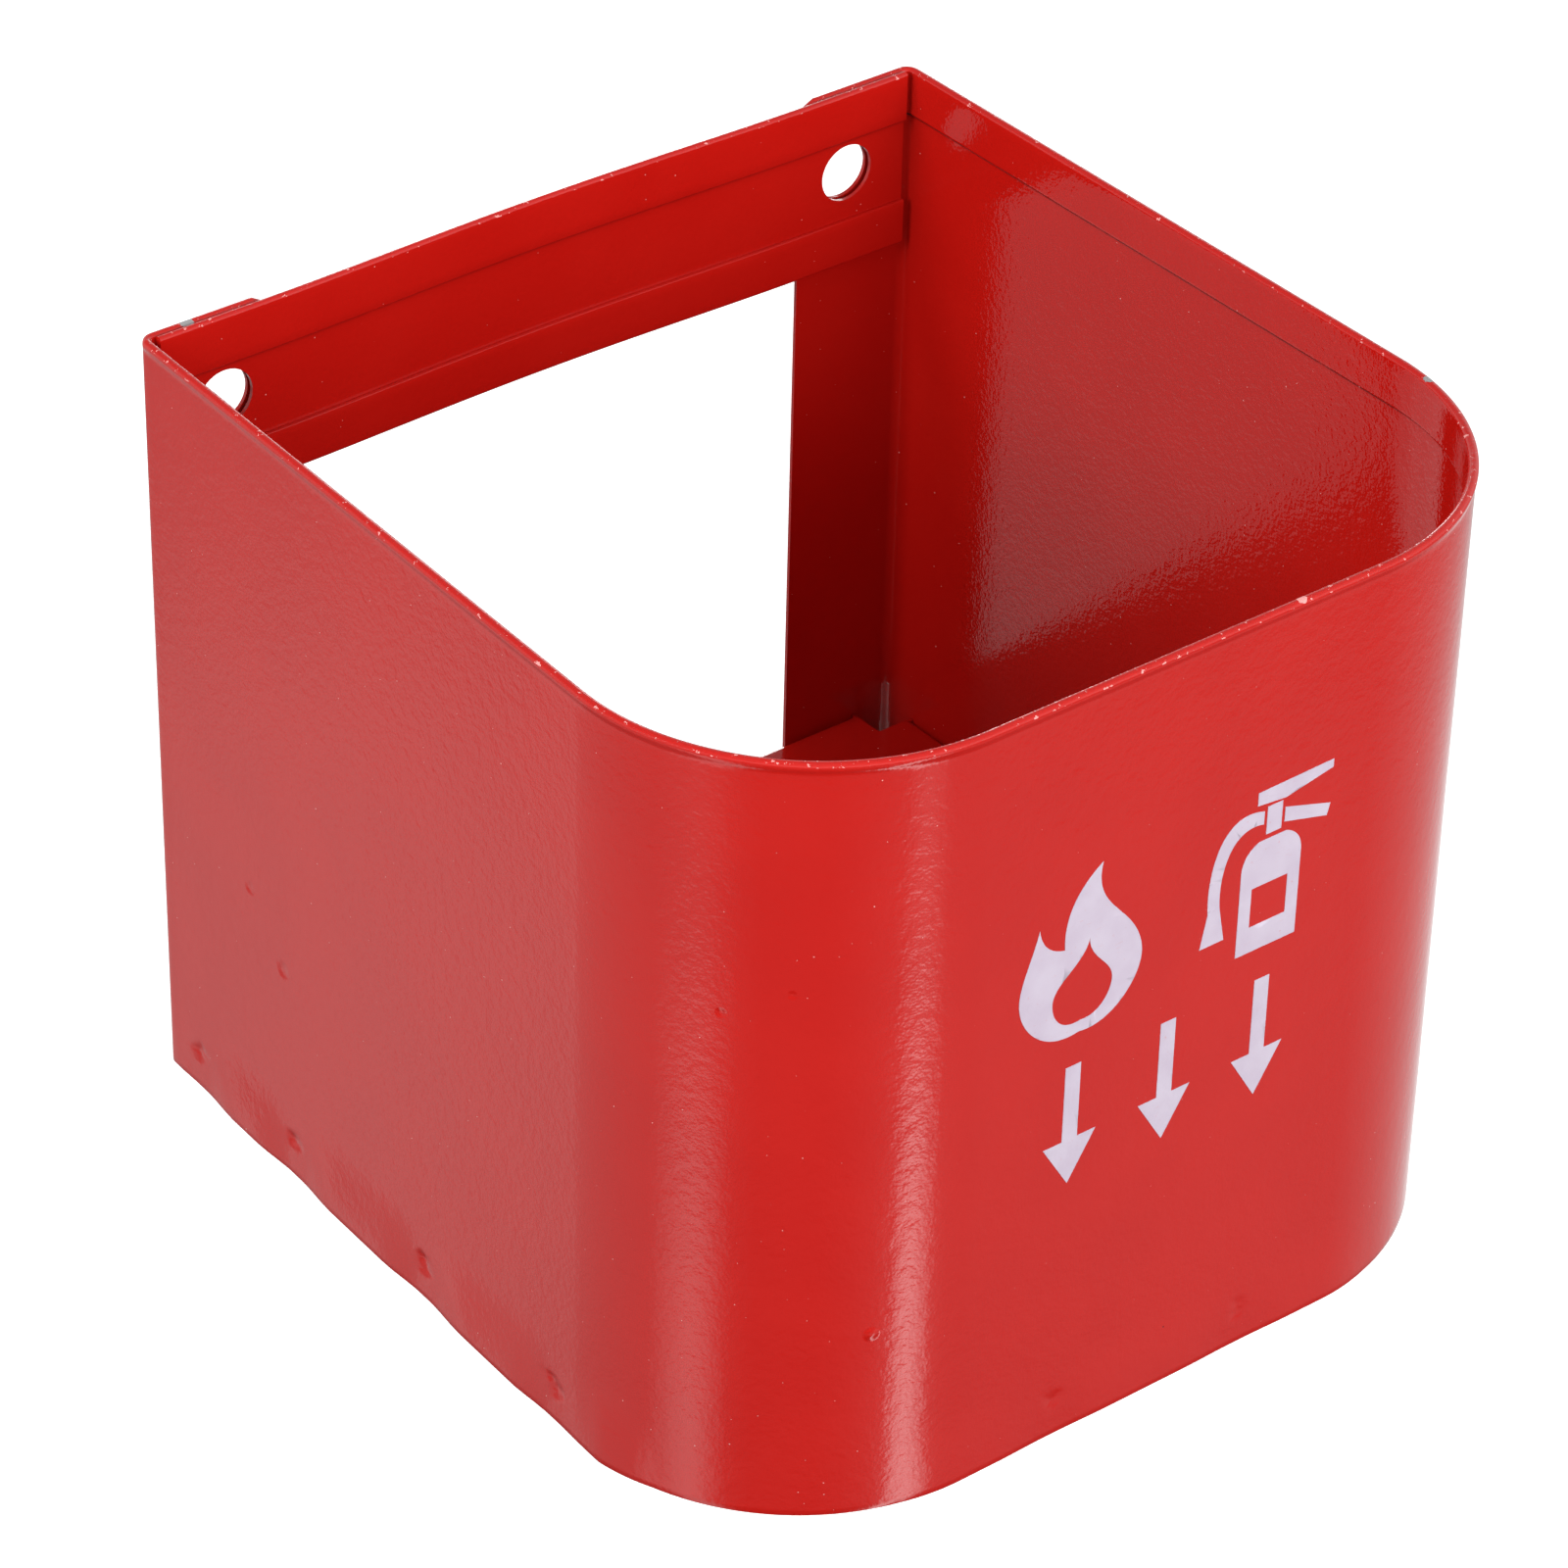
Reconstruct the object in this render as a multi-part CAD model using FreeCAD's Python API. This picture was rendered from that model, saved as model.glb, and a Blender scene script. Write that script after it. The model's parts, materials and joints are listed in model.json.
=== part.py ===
# Wall-mounted holder for one small fire extinguisher, made of red powder-coated sheet steel.
# A wrap with two large front corners, a hemmed rim and two rear flanges is closed at the back by a hemmed
# rail and at the bottom by a raised tray, all joined by spot welds. A white print is on the front.
# Frame: +Z up, +Y towards the wall, origin under the middle of the plan, at the bottom edge. Millimetres.
import FreeCAD, Part
import math
import os

# Overall plan and height
REAR_WIDTH = 164.0  # outside the side walls, at the wall
FRONT_WIDTH = 172.0  # outside the side walls, where their lines meet the front plane
DEPTH = 174.0  # from the wall to the front face
HEIGHT = 150.0

# Sheet and bends
SHEET = 0.7  # steel and both coats of powder
FRONT_RADIUS = 45.0  # outside, the two front corners
REAR_RADIUS = 2.5  # outside, the two bends into the rear flanges
FOLD_GAP = 0.1  # left between the two layers of a closed hem
SEAM_GAP = 0.1  # left between two sheets that are spot-welded together

# Rim of the wrap
RIM_HEM = 9.0  # from the top down to the free edge of the inward hem
BEAD_PROUD = 0.3  # how far the rolled rim stands out from the side and front faces
BEAD_HEIGHT = 1.4
BEAD_ROUND = 0.7

# Rear flanges of the wrap
FLANGE_WIDTH = 25.0  # from the side wall's outer face to the free edge
FLANGE_CORNER = 1.5  # radius of the top corner at the free edge

# Back rail
RAIL_HEIGHT = 35.0
RAIL_TOP_HEM = 9.5
RAIL_BOTTOM_HEM = 9.0
RAIL_END_GAP = 0.2  # between the rail's end and the start of the rear bend

# Wall holes, through the rail and the flange behind it
HOLE_RADIUS = 5.5
HOLE_INSET = 15.5  # hole centre from the side wall's outer face, at the wall
HOLE_DROP = 16.5  # hole centre from the top

# Floor tray
FLOOR_HEIGHT = 12.5  # top face of the tray above the bottom edge
TRAY_FLANGE = 10.0  # height of the turned-down flanges, the plate included
TRAY_BEND = 1.5  # outside radius of the bend into a flange
TRAY_NOTCH = 7.5  # square notch at each rear corner
TRAY_ROUND = 0.7  # radius of each corner of the rear notches
TRAY_RELIEF = 3.0  # from the end of a flange to the start of a front corner

# Spot welds
WELD_RADIUS = 2.2
WELD_HEIGHT = 7.5  # centre of the tray's welds above the bottom edge
SIDE_WELD_MARGIN = 2.5  # first and last side weld from the ends of the tray's side flange
SIDE_WELD_PLACES = (0.0, 0.28, 0.645, 1.0)  # along the side flange from the rear, set by eye, so uneven
FRONT_WELD_HALF_PITCH = 20.5
REAR_WELD_INSET = 8.0  # from the free edge of the wrap's rear flange
RAIL_WELD_DROP = 5.0  # from the top, in the hem
RAIL_WELD_PLACES = (5.0, 19.0)  # from the free edge of the wrap's rear flange
DIMPLE_RADIUS = 2.3
DIMPLE_DEPTH = 0.3

# Print on the front
INK = 0.1
SYMBOL_HEIGHT = 32.0
SYMBOL_PITCH = 40.0  # between the middles of the two symbols
SYMBOL_BOTTOM = 84.0  # above the bottom edge
ARROW_HEIGHT = 24.0
ARROW_WIDTH = 11.0
ARROW_SHAFT = 3.2
ARROW_HEAD = 9.0
ARROW_PITCH = 20.0
ARROW_BOTTOM = 53.5
ARROW_COUNT = 3

OVERCUT = 1.0  # how far a cutting shape runs past what it cuts

# Worked out from the sizes above
HEM_THICKNESS = 2 * SHEET + FOLD_GAP
REAR_Y = DEPTH / 2
FRONT_Y = -DEPTH / 2
LEAN = (FRONT_WIDTH - REAR_WIDTH) / 2 / DEPTH  # how much a side wall moves out for each mm of depth
SLANT = math.hypot(1.0, LEAN)
FLANGE_EDGE_X = REAR_WIDTH / 2 - FLANGE_WIDTH
HOLE_X = REAR_WIDTH / 2 - HOLE_INSET
HOLE_Z = HEIGHT - HOLE_DROP
UP = FreeCAD.Vector(0, 0, 1)
BACK = FreeCAD.Vector(0, 1, 0)
ALONG_X = FreeCAD.Vector(1, 0, 0)


def vec(x, y, z=0.0):
    return FreeCAD.Vector(x, y, z)


def half_width(y, inset):
    """Half the plan's width at y, measured to a side face moved in by inset."""
    return REAR_WIDTH / 2 + LEAN * (REAR_Y - y) - inset * SLANT


def rounded_path(points, radii):
    """Edges of a line through the points, with a tangent arc at each inner point."""
    edges = []
    start = points[0]
    for before, corner, after, radius in zip(points, points[1:], points[2:], radii):
        to_before = (before - corner).normalize()
        to_after = (after - corner).normalize()
        half_angle = to_before.getAngle(to_after) / 2
        reach = radius / math.tan(half_angle)
        middle = corner + (to_before + to_after).normalize() * (radius / math.sin(half_angle) - radius)
        arc_start = corner + to_before * reach
        arc_end = corner + to_after * reach
        edges.append(Part.makeLine(start, arc_start))
        edges.append(Part.Arc(arc_start, middle, arc_end).toShape())
        start = arc_end
    edges.append(Part.makeLine(start, points[-1]))
    return edges


def wrap_path(inset, rear_inset=None):
    """The wrap's plan line, moved in by inset, from one flange's free edge round the front to the other."""
    if rear_inset is None:
        rear_inset = inset
    rear_y = REAR_Y - rear_inset
    front_y = FRONT_Y + inset
    left_to_right = [
        vec(-FLANGE_EDGE_X, rear_y),
        vec(-half_width(rear_y, inset), rear_y),
        vec(-half_width(front_y, inset), front_y),
        vec(half_width(front_y, inset), front_y),
        vec(half_width(rear_y, inset), rear_y),
        vec(FLANGE_EDGE_X, rear_y),
    ]
    rear = REAR_RADIUS - rear_inset
    front = FRONT_RADIUS - inset
    return rounded_path(left_to_right, [rear, front, front, rear])


def band(outer, inner, low, high):
    """A strip of sheet on edge: the space between two plan lines, from height low to height high."""
    left_end = Part.makeLine(inner[0].firstVertex().Point, outer[0].firstVertex().Point)
    right_end = Part.makeLine(outer[-1].lastVertex().Point, inner[-1].lastVertex().Point)
    wire = Part.Wire(outer + [right_end] + inner[::-1] + [left_end])
    strip = Part.Face(wire).extrude(UP * (high - low))
    strip.translate(UP * low)
    return strip


def wrap_welds():
    """Places on the wrap's outer face where the tray is welded to it, each with the outward direction."""
    side_out = vec(1.0, LEAN).normalize()
    rear_end = side_flange_rear_y() - SIDE_WELD_MARGIN
    front_end = side_flange_front_y() + SIDE_WELD_MARGIN
    places = []
    for share in SIDE_WELD_PLACES:
        y = rear_end + share * (front_end - rear_end)
        x = half_width(y, 0.0)
        places.append((vec(x, y, WELD_HEIGHT), side_out))
        places.append((vec(-x, y, WELD_HEIGHT), vec(-side_out.x, side_out.y)))
    for side in (-1, 1):
        places.append((vec(side * FRONT_WELD_HALF_PITCH, FRONT_Y, WELD_HEIGHT), vec(0, -1)))
        rear_x = side * (FLANGE_EDGE_X + REAR_WELD_INSET)
        places.append((vec(rear_x, REAR_Y, WELD_HEIGHT), vec(0, 1)))
    return places


def dimple(point, outward):
    """The shallow round mark that a welding electrode presses into the sheet."""
    ball_radius = (DIMPLE_RADIUS**2 + DIMPLE_DEPTH**2) / (2 * DIMPLE_DEPTH)
    return Part.makeSphere(ball_radius, point + outward * (ball_radius - DIMPLE_DEPTH))


def wall_hole(side):
    """The round hole through the rail and the flange behind it."""
    rail_front = REAR_Y - 2 * HEM_THICKNESS - SEAM_GAP
    start = vec(side * HOLE_X, rail_front - OVERCUT, HOLE_Z)
    return Part.makeCylinder(HOLE_RADIUS, REAR_Y - rail_front + 2 * OVERCUT, start, BACK)


def flange_corner_waste(side):
    """What the rounded top corner at a rear flange's free edge leaves out."""
    size = FLANGE_CORNER + OVERCUT
    front_y = REAR_Y - HEM_THICKNESS - OVERCUT
    reach = HEM_THICKNESS + 2 * OVERCUT
    base_z = HEIGHT - FLANGE_CORNER
    block = Part.makeBox(size, reach, size, vec(FLANGE_EDGE_X - OVERCUT, front_y, base_z))
    centre = vec(FLANGE_EDGE_X + FLANGE_CORNER, front_y, base_z)
    waste = block.cut(Part.makeCylinder(FLANGE_CORNER, reach, centre, BACK))
    return waste if side > 0 else waste.mirror(vec(0, 0), ALONG_X)


def rolled_rim():
    """The rounded fold along the top of the wrap."""
    low = HEIGHT - BEAD_HEIGHT
    rim = band(wrap_path(-BEAD_PROUD, 0.0), wrap_path(HEM_THICKNESS), low, HEIGHT)
    across_end = HEM_THICKNESS + BEAD_PROUD  # no edge along the rim is as short as the one across its end
    tops = [edge for edge in rim.Edges if edge.CenterOfMass.z > HEIGHT - BEAD_ROUND / 2]
    return rim.makeFillet(BEAD_ROUND, [edge for edge in tops if edge.Length > across_end])


def make_body_shell():
    """The wrap: wall, inward hem and rolled rim, with the wall holes and the marks of the spot welds."""
    bead_low = HEIGHT - BEAD_HEIGHT
    wall = band(wrap_path(0.0), wrap_path(SHEET), 0.0, bead_low)
    hem = band(wrap_path(SHEET + FOLD_GAP), wrap_path(HEM_THICKNESS), HEIGHT - RIM_HEM, bead_low)
    shell = wall.fuse([hem, rolled_rim()]).removeSplitter()
    waste = [wall_hole(side) for side in (-1, 1)]
    waste += [flange_corner_waste(side) for side in (-1, 1)]
    waste += [dimple(point, outward) for point, outward in wrap_welds()]
    return shell.cut(waste)


def make_back_rail():
    """The hemmed strip between the side walls, in front of the rear flanges."""
    back = REAR_Y - HEM_THICKNESS - SEAM_GAP
    front = back - HEM_THICKNESS
    web_front = back - SHEET
    hem_back = front + SHEET
    middle = (back + front) / 2
    turn = HEM_THICKNESS / 2
    low = HEIGHT - RAIL_HEIGHT
    high_turn = HEIGHT - turn
    low_turn = low + turn
    top_edge = HEIGHT - RAIL_TOP_HEM
    bottom_edge = low + RAIL_BOTTOM_HEM

    def at(y, z):
        return vec(0, y, z)

    def arc(start, through, end):
        return Part.Arc(at(*start), at(*through), at(*end)).toShape()

    def line(start, end):
        return Part.makeLine(at(*start), at(*end))

    outline = [
        line((back, low_turn), (back, high_turn)),
        arc((back, high_turn), (middle, HEIGHT), (front, high_turn)),
        line((front, high_turn), (front, top_edge)),
        line((front, top_edge), (hem_back, top_edge)),
        line((hem_back, top_edge), (hem_back, high_turn)),
        arc((hem_back, high_turn), (middle, high_turn + FOLD_GAP / 2), (web_front, high_turn)),
        line((web_front, high_turn), (web_front, low_turn)),
        arc((web_front, low_turn), (middle, low_turn - FOLD_GAP / 2), (hem_back, low_turn)),
        line((hem_back, low_turn), (hem_back, bottom_edge)),
        line((hem_back, bottom_edge), (front, bottom_edge)),
        line((front, bottom_edge), (front, low_turn)),
        arc((front, low_turn), (middle, low), (back, low_turn)),
    ]
    half_length = REAR_WIDTH / 2 - REAR_RADIUS - RAIL_END_GAP
    rail = Part.Face(Part.Wire(outline)).extrude(ALONG_X * (2 * half_length))
    rail.translate(ALONG_X * -half_length)
    return rail.cut([wall_hole(side) for side in (-1, 1)])


def front_corner_reach():
    """How far a front corner's arc reaches back from the point where the two faces would meet."""
    to_rear = vec(-LEAN, 1.0)
    return FRONT_RADIUS / math.tan(vec(-1, 0).getAngle(to_rear) / 2)


def side_flange_rear_y():
    """Where the tray's side flange starts, at the rear notch."""
    return REAR_Y - SHEET - SEAM_GAP - TRAY_NOTCH - TRAY_ROUND


def side_flange_front_y():
    """Where the tray's side flange ends, just behind the front corner."""
    return FRONT_Y + front_corner_reach() / SLANT + TRAY_RELIEF


def front_flange_end_x():
    """Where the tray's front flange ends, just short of the front corner."""
    return half_width(FRONT_Y, 0.0) - front_corner_reach() - TRAY_RELIEF


def tray_flange(start, end, outward):
    """A flange turned down along the plate's edge from start to end, with its bend."""
    flange_low = FLOOR_HEIGHT - TRAY_FLANGE
    bend_z = FLOOR_HEIGHT - TRAY_BEND
    inner = TRAY_BEND - SHEET
    diagonal = math.sqrt(0.5)

    def at(out, z):
        return start + outward * out + UP * z

    def quarter(radius, from_top):
        top = at(-TRAY_BEND, bend_z + radius)
        side = at(radius - TRAY_BEND, bend_z)
        through = at(radius * diagonal - TRAY_BEND, bend_z + radius * diagonal)
        return Part.Arc(top, through, side).toShape() if from_top else Part.Arc(side, through, top).toShape()

    outline = [
        quarter(TRAY_BEND, True),
        Part.makeLine(at(0, bend_z), at(0, flange_low)),
        Part.makeLine(at(0, flange_low), at(-SHEET, flange_low)),
        Part.makeLine(at(-SHEET, flange_low), at(-SHEET, bend_z)),
        quarter(inner, False),
        Part.makeLine(at(-TRAY_BEND, FLOOR_HEIGHT - SHEET), at(-TRAY_BEND, FLOOR_HEIGHT)),
    ]
    return Part.Face(Part.Wire(outline)).extrude(end - start)


def edge_waste(start, end, outward):
    """The square edge of the plate that a flange's bend takes the place of."""
    low = FLOOR_HEIGHT - SHEET - OVERCUT
    corners = [
        start + UP * low,
        end + UP * low,
        end - outward * TRAY_BEND + UP * low,
        start - outward * TRAY_BEND + UP * low,
    ]
    return Part.Face(Part.makePolygon(corners + corners[:1])).extrude(UP * (SHEET + 2 * OVERCUT))


def make_floor_tray():
    """The raised floor, with flanges turned down along the sides, the front and the back."""
    inset = SHEET + SEAM_GAP
    rear_y = REAR_Y - inset
    front_y = FRONT_Y + inset
    notch_y = rear_y - TRAY_NOTCH
    notch_x = half_width(rear_y, inset) - TRAY_NOTCH
    outline = [
        vec(0, rear_y),
        vec(-notch_x, rear_y),
        vec(-notch_x, notch_y),
        vec(-half_width(notch_y, inset), notch_y),
        vec(-half_width(front_y, inset), front_y),
        vec(half_width(front_y, inset), front_y),
        vec(half_width(notch_y, inset), notch_y),
        vec(notch_x, notch_y),
        vec(notch_x, rear_y),
        vec(0, rear_y),
    ]
    front = FRONT_RADIUS - inset
    rear = TRAY_ROUND
    radii = [rear, rear, rear, front, front, rear, rear, rear]
    plate = Part.Face(Part.Wire(rounded_path(outline, radii))).extrude(UP * SHEET)
    plate.translate(UP * (FLOOR_HEIGHT - SHEET))

    side_out = vec(1.0, LEAN).normalize()
    rear_end = side_flange_rear_y()
    front_end = side_flange_front_y()
    front_x = front_flange_end_x()
    runs = [
        (vec(-front_x, front_y), vec(front_x, front_y), vec(0, -1)),
        (vec(notch_x - TRAY_ROUND, rear_y), vec(TRAY_ROUND - notch_x, rear_y), vec(0, 1)),
    ]
    for side in (-1, 1):
        start = vec(side * half_width(rear_end, inset), rear_end)
        end = vec(side * half_width(front_end, inset), front_end)
        runs.append((start, end, vec(side * side_out.x, side_out.y)))
    plate = plate.cut([edge_waste(*run) for run in runs])
    return plate.fuse([tray_flange(*run) for run in runs]).removeSplitter()


def make_tray_welds():
    """The welded spots that fill the seam between the tray's flanges and the wrap."""
    spots = []
    for point, outward in wrap_welds():
        spots.append(Part.makeCylinder(WELD_RADIUS, SEAM_GAP, point - outward * SHEET, outward * -1))
    return Part.makeCompound(spots)


def make_rail_welds():
    """The welded spots that fill the seam between the rail and the hems of the rear flanges."""
    spots = []
    for side in (-1, 1):
        for place in RAIL_WELD_PLACES:
            x = side * (FLANGE_EDGE_X + place)
            point = vec(x, REAR_Y - HEM_THICKNESS, HEIGHT - RAIL_WELD_DROP)
            spots.append(Part.makeCylinder(WELD_RADIUS, SEAM_GAP, point, BACK * -1))
    return Part.makeCompound(spots)


def ink(wire, middle_x, bottom_z, scale=1.0):
    """A flat shape drawn in x and z, printed on the front face with its base at bottom_z."""
    shape = Part.Face(wire)
    shape.scale(scale)
    shape.translate(vec(middle_x, FRONT_Y, bottom_z))
    return shape.extrude(BACK * -INK)


def curve(*points):
    """A smooth curve through points given as x and z."""
    spline = Part.BSplineCurve()
    spline.interpolate([vec(x, 0, z) for x, z in points])
    return spline.toShape()


def polygon(*points):
    corners = [vec(x, 0, z) for x, z in points]
    return Part.makePolygon(corners + corners[:1])


def flame(middle_x):
    """A flame with a hollow middle, drawn one unit tall."""
    outside = Part.Wire(
        [
            curve((0.02, 0.0), (-0.27, 0.09), (-0.38, 0.32), (-0.33, 0.55), (-0.27, 0.74)),
            curve((-0.27, 0.74), (-0.20, 0.60), (-0.10, 0.55)),
            curve((-0.10, 0.55), (-0.07, 0.78), (0.12, 1.0)),
            curve((0.12, 1.0), (0.16, 0.76), (0.32, 0.56), (0.41, 0.32), (0.30, 0.09), (0.02, 0.0)),
        ]
    )
    inside = Part.Wire(
        [
            curve((0.03, 0.07), (-0.13, 0.13), (-0.16, 0.27), (-0.03, 0.42), (0.06, 0.56)),
            curve((0.06, 0.56), (0.12, 0.42), (0.22, 0.27), (0.17, 0.12), (0.03, 0.07)),
        ]
    )
    whole = ink(outside, middle_x, SYMBOL_BOTTOM, SYMBOL_HEIGHT)
    hollow = ink(inside, middle_x, SYMBOL_BOTTOM, SYMBOL_HEIGHT)
    return whole.cut(hollow)


def bottle(middle_x):
    """An extinguisher with its lever and hose, drawn one unit tall."""
    body = Part.Wire(
        [
            curve((0.20, 0.52), (0.17, 0.62), (0.09, 0.68)),
            Part.makeLine(vec(0.09, 0, 0.68), vec(-0.09, 0, 0.68)),
            curve((-0.09, 0.68), (-0.17, 0.62), (-0.20, 0.52)),
            Part.makeLine(vec(-0.20, 0, 0.52), vec(-0.20, 0, 0.0)),
            Part.makeLine(vec(-0.20, 0, 0.0), vec(0.20, 0, 0.0)),
            Part.makeLine(vec(0.20, 0, 0.0), vec(0.20, 0, 0.52)),
        ]
    )
    label = polygon((-0.12, 0.16), (0.12, 0.16), (0.12, 0.40), (-0.12, 0.40))
    hose = Part.Wire(
        [
            curve((-0.07, 0.86), (-0.30, 0.83), (-0.40, 0.62), (-0.41, 0.36)),
            Part.makeLine(vec(-0.41, 0, 0.36), vec(-0.45, 0, 0.16)),
            Part.makeLine(vec(-0.45, 0, 0.16), vec(-0.29, 0, 0.16)),
            Part.makeLine(vec(-0.29, 0, 0.16), vec(-0.33, 0, 0.36)),
            curve((-0.33, 0.36), (-0.32, 0.60), (-0.24, 0.75), (-0.07, 0.78)),
            Part.makeLine(vec(-0.07, 0, 0.78), vec(-0.07, 0, 0.86)),
        ]
    )
    neck = polygon((-0.05, 0.71), (0.05, 0.71), (0.05, 0.88), (-0.05, 0.88))
    grip = polygon((0.07, 0.74), (0.36, 0.66), (0.38, 0.73), (0.07, 0.83))
    lever = polygon((-0.12, 0.91), (0.07, 0.89), (0.38, 0.95), (0.38, 1.0), (-0.12, 0.99))
    solids = [ink(wire, middle_x, SYMBOL_BOTTOM, SYMBOL_HEIGHT) for wire in (hose, neck, grip, lever)]
    window = ink(label, middle_x, SYMBOL_BOTTOM, SYMBOL_HEIGHT)
    return [ink(body, middle_x, SYMBOL_BOTTOM, SYMBOL_HEIGHT).cut(window)] + solids


def arrow(middle_x):
    """An arrow that points down into the holder."""
    half = ARROW_WIDTH / 2
    shaft = ARROW_SHAFT / 2
    wire = polygon(
        (0, 0), (half, ARROW_HEAD), (shaft, ARROW_HEAD), (shaft, ARROW_HEIGHT),
        (-shaft, ARROW_HEIGHT), (-shaft, ARROW_HEAD), (-half, ARROW_HEAD),
    )
    return ink(wire, middle_x, ARROW_BOTTOM)


def make_front_print():
    """The white print: a flame and an extinguisher over a row of arrows."""
    shapes = [flame(-SYMBOL_PITCH / 2)]
    shapes += bottle(SYMBOL_PITCH / 2)
    for index in range(ARROW_COUNT):
        shapes.append(arrow((index - (ARROW_COUNT - 1) / 2) * ARROW_PITCH))
    return Part.makeCompound(shapes)


MAKERS = {
    "body_shell": make_body_shell,
    "back_rail": make_back_rail,
    "floor_tray": make_floor_tray,
    "tray_spot_welds": make_tray_welds,
    "rail_spot_welds": make_rail_welds,
    "front_print": make_front_print,
}

os.makedirs("parts", exist_ok=True)
for node, make in MAKERS.items():
    shape = make()
    shape.exportStep("parts/" + node + ".step")
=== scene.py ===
"""Wall holder for a small fire extinguisher, in red powder-coated sheet steel, with a white print."""

import json
import math

import bmesh
import bpy
from mathutils import Matrix, Vector
from mathutils.bvhtree import BVHTree


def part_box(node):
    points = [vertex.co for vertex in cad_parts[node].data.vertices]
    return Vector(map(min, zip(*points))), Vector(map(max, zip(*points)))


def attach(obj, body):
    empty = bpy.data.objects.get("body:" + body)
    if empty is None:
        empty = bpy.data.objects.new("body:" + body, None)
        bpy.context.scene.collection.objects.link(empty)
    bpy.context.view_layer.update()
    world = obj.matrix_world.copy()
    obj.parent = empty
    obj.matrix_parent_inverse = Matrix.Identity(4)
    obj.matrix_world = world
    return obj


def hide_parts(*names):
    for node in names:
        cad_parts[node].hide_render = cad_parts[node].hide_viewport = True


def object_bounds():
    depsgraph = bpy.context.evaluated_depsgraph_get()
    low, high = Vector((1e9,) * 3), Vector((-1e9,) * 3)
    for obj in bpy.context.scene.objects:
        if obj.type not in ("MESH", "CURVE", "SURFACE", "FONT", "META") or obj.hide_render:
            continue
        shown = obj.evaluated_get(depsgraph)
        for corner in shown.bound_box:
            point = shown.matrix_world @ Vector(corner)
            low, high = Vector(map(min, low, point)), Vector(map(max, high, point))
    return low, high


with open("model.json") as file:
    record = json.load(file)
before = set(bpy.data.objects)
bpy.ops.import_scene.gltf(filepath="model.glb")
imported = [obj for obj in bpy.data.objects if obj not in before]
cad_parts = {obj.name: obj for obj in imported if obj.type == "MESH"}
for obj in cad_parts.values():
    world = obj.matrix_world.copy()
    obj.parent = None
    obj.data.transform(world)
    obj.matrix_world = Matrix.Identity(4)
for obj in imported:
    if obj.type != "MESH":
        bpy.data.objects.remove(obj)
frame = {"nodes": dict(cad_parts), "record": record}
cad_low, cad_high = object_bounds()

# Sizes of the sheet work, in metres, the same as the design's; HEM is the thickness of a folded edge
SHEET = 0.0007
HEM = 0.0015
RIM_HEM = 0.009
BEAD_PROUD = 0.00028
FRONT_RADIUS = 0.045
REAR_RADIUS = 0.0025
FLANGE_WIDTH = 0.025
FLANGE_CORNER = 0.0015
RAIL_TOP_HEM = 0.0095
RAIL_BOTTOM_HEM = 0.009
HOLE_RADIUS = 0.0055
REAR_WIDTH = 0.164
FRONT_WIDTH = 0.172

# Edges of the sheet, in metres: the eased corners of cut edges, the depth of the open slot under a hem's
# cut edge, and how far apart two corners of one spot weld's mesh may be
WRAP_EDGE = 0.00016
RAIL_EDGE = 0.00012
HEM_SLOT = 0.0015
WELD_REACH = 0.0065

# The rolled rim's bead: how far below the top edge, and the share of the bead's full height there
BEAD_PROFILE = ((0.0027, 0.0), (0.0022, 0.03), (0.0018, 0.15), (0.0015, 0.5), (0.0012, 0.85))
BEAD_START = 0.0035

# Spacing of the mesh, in metres: close steps at folds and welds, wide ones on plain sheet
PLAN_STEP = 0.0028
ARC_STEP = 0.0014
ARC_STEPS_LEAST = 8
WELD_STEP = 0.0006
WELD_ZONE = 0.0055
FOOT_HEIGHT = 0.025
FOOT_STEP = 0.0012
FOOT_INNER_STEP = 0.0016
WELD_ROW = 0.0075
WELD_ROW_ZONE = 0.006
WALL_STEP = 0.003
FOLD_STEPS = 12
SEAM_STEP = 0.0003
SEAM_ZONE = 0.0022
SEAM_MIDDLE = 0.0005
HEM_STEP = 0.0015
HEM_ZONE = 0.0010
RAIL_STEP = 0.002
RAIL_LENGTH_STEP = 0.0025

# Small faults of the hand work, in metres, the share of painted seam shade on the rail, and how far the
# painted seam shade reaches below a hem's cut edge before it fades out
DENT_DEPTH = 0.00058
DENT_RADIUS = 0.0036
SIDE_BULGE = 0.00066
FRONT_BULGE = 0.0002
BULGE_HEIGHT = 0.017
WAVE_HEIGHT = 0.00014
WAVE_LENGTH = 0.07
WAVE_SEED = 3.0
RAIL_BOW = 0.0013
RAIL_SEAM_SHADE = 0.4
SEAM_REACH = 0.00060
SEAM_FADE = 0.0003
TRAY_SAG = 0.0003
TRAY_STIFF_EDGE = 0.004
TRAY_SAG_REACH = 0.03

# Where the faults begin and end: how squarely a place faces a side, the front or the rear before it counts
# as that wall, and over how much it turns into it; the share of a weld's dent on the front; how ragged a
# dent is; how far a weld holds the sheet flat; and the stiff zones at the rear corners, rim and foot
SIDE_FACING = (0.93, 0.06)
FRONT_FACING = (0.97, 0.03)
REAR_FACING = (0.0, 0.5)
FRONT_PRESS = 0.35
DENT_GRAIN = 420.0
DENT_RAGGED = 0.0032
WELD_HOLD = (0.0015, 0.012)
STIFF_CORNER = 0.012
STIFF_RIM = (0.028, 0.004)
STIFF_FOOT = (0.010, 0.030)
BOX_ROOM = 0.00002

# The print's face above the coat and its back below it, and the grids of the tray and the print, in metres
INK_PROUD = 0.00006
INK_SUNK = 0.00002
TRAY_GRID = 0.006
PRINT_GRID = 0.003

# How near two points count as one, how thin a sliver is dropped, and how far before the wall the search
# for its face begins, in metres
MERGE_REACH = 1e-7
SLIVER = 2e-6
RAY_ROOM = 0.01

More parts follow.
